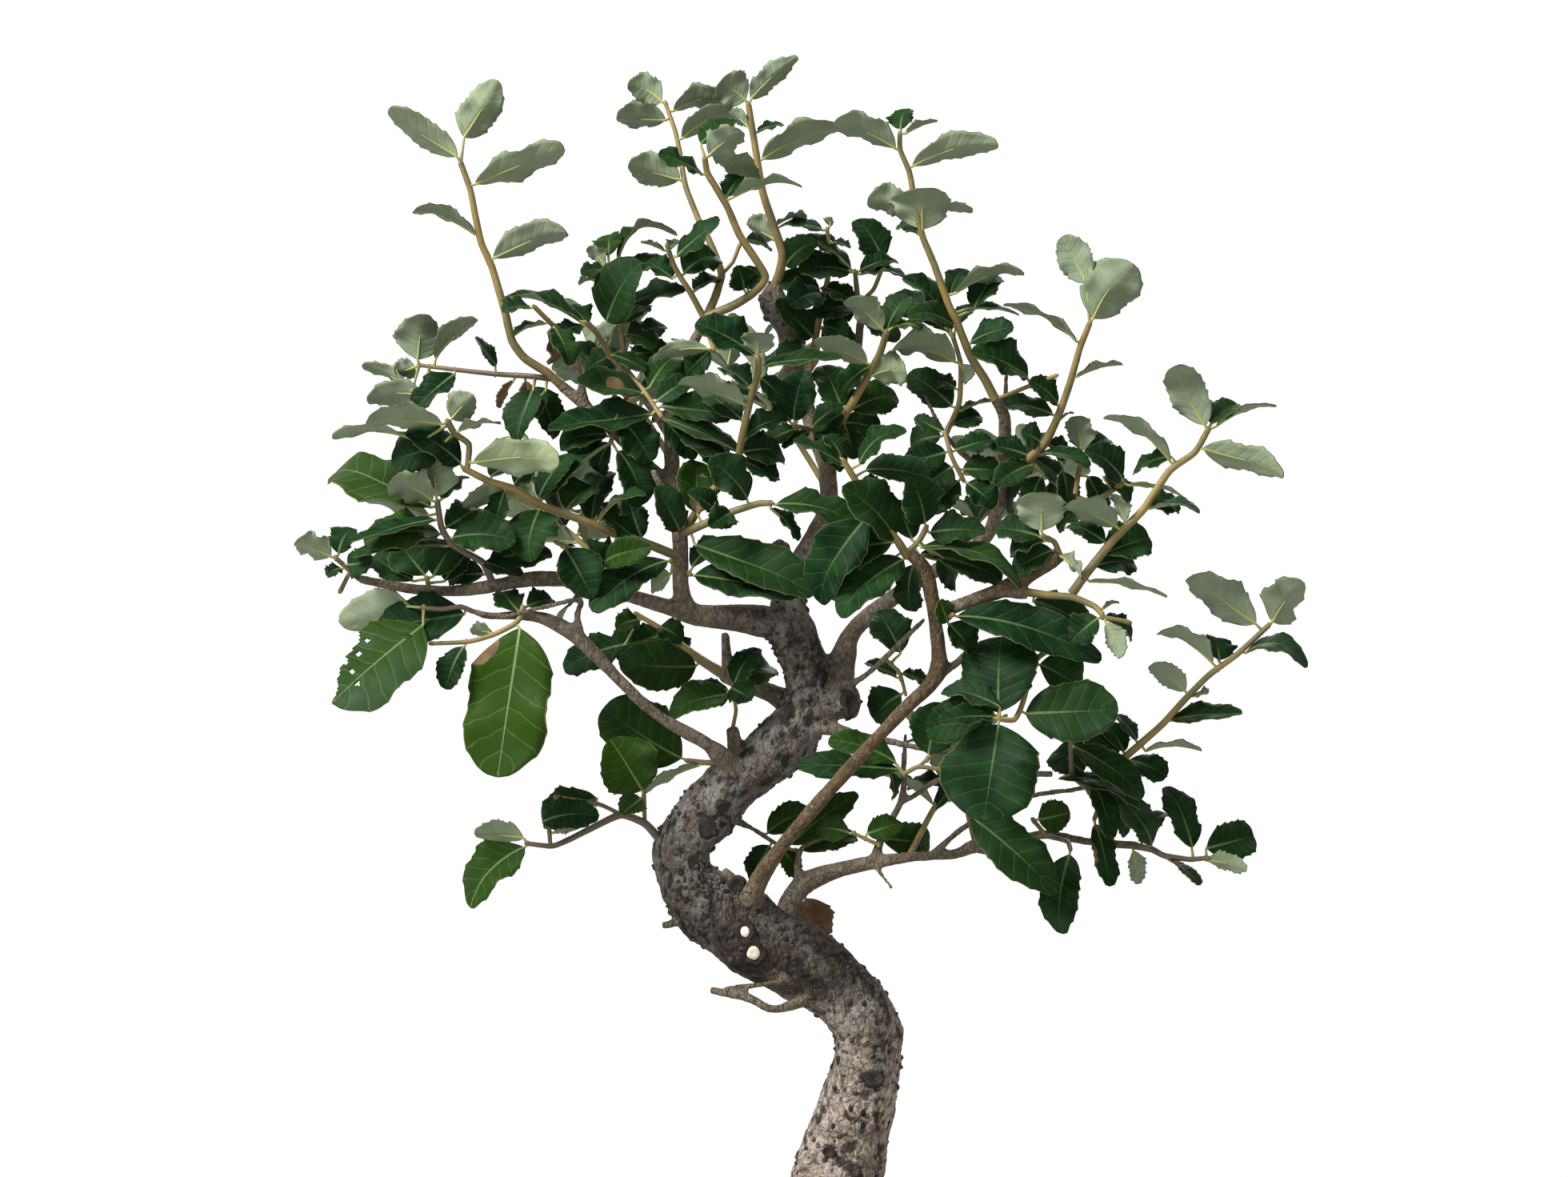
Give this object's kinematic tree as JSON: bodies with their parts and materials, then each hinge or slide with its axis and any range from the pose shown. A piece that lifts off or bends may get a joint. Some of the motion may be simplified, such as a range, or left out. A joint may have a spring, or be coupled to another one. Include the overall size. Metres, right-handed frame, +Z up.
{
  "type": "cork oak bonsai",
  "caption": "Cork oak bonsai with a twisting trunk, spreading limbs and spiny-toothed evergreen leaves, standing in an unglazed oval pot with soil, drainage grit and mesh screens.",
  "frame": {"origin": "on the ground the pot stands on, in the middle of the whole object's box", "axes": "+Z up the tree, +X to the right as the picture shows it, +Y away from the picture's viewer"},
  "size_m": [0.3055, 0.172, 0.4702],
  "materials": {
    "unglazed_clay": "matte",
    "screen_mesh": "matte",
    "bonsai_wire": "satin",
    "grit": "matte",
    "soil_granules": "matte",
    "bark": "matte",
    "young_bark": "satin",
    "leaf": "satin"
  },
  "bodies": {
    "root": {"pot": "unglazed_clay", "drain_screen_left": "screen_mesh", "screen_clip_left": "bonsai_wire", "drain_screen_right": "screen_mesh", "screen_clip_right": "bonsai_wire", "drainage_grit": "grit", "soil": "soil_granules", "trunk": "bark", "shoot_back_centre": "leaf", "shoot_back_left": "leaf", "shoot_back_left_high": "leaf", "shoot_back_right": "leaf", "shoot_back_right_low": "leaf", "shoot_behind_left": "leaf", "shoot_behind_trunk_low": "leaf", "shoot_behind_trunk_right": "leaf", "shoot_below_limb_dry": "leaf", "shoot_centre_dark": "leaf", "shoot_centre_horizontal": "leaf", "shoot_centre_left_ochre": "leaf", "shoot_centre_ochre": "leaf", "shoot_centre_underleaf": "leaf", "shoot_crown_left_leaning": "leaf", "shoot_crown_left_tall": "leaf", "shoot_crown_right_node": "leaf", "shoot_crown_top": "leaf", "shoot_crown_top_right": "leaf", "shoot_far_left_low": "leaf", "shoot_far_left_tall": "leaf", "shoot_far_right_low": "leaf", "shoot_far_right_tall": "leaf", "shoot_front_bright": "leaf", "shoot_front_dark_leaf": "leaf", "shoot_left_cluster": "leaf", "shoot_left_crown_ochre": "leaf", "shoot_left_front_leaf": "leaf", "shoot_left_great_leaf": "leaf", "shoot_left_inner": "leaf", "shoot_left_limb_end": "leaf", "shoot_left_low_end": "leaf", "shoot_left_ochre_long": "leaf", "shoot_left_standing_leaves": "leaf", "shoot_left_tuft_low": "leaf", "shoot_left_tuft_mid": "leaf", "shoot_left_tuft_top": "leaf", "shoot_low_left": "leaf", "shoot_right_behind_small": "leaf", "shoot_right_crown_small": "leaf", "shoot_right_crown_tall": "leaf", "shoot_right_fork_end": "leaf", "shoot_right_long_leaf": "leaf", "shoot_right_low_cluster": "leaf", "shoot_right_low_dense": "leaf", "shoot_right_low_end": "leaf", "shoot_right_low_hanging": "leaf", "shoot_right_low_mid": "leaf", "shoot_right_stub_pale": "leaf", "shoot_right_tall": "leaf", "shoot_stub_twig": "leaf", "shoot_trunk_left_leaves": "leaf"}
  },
  "joints": []
}
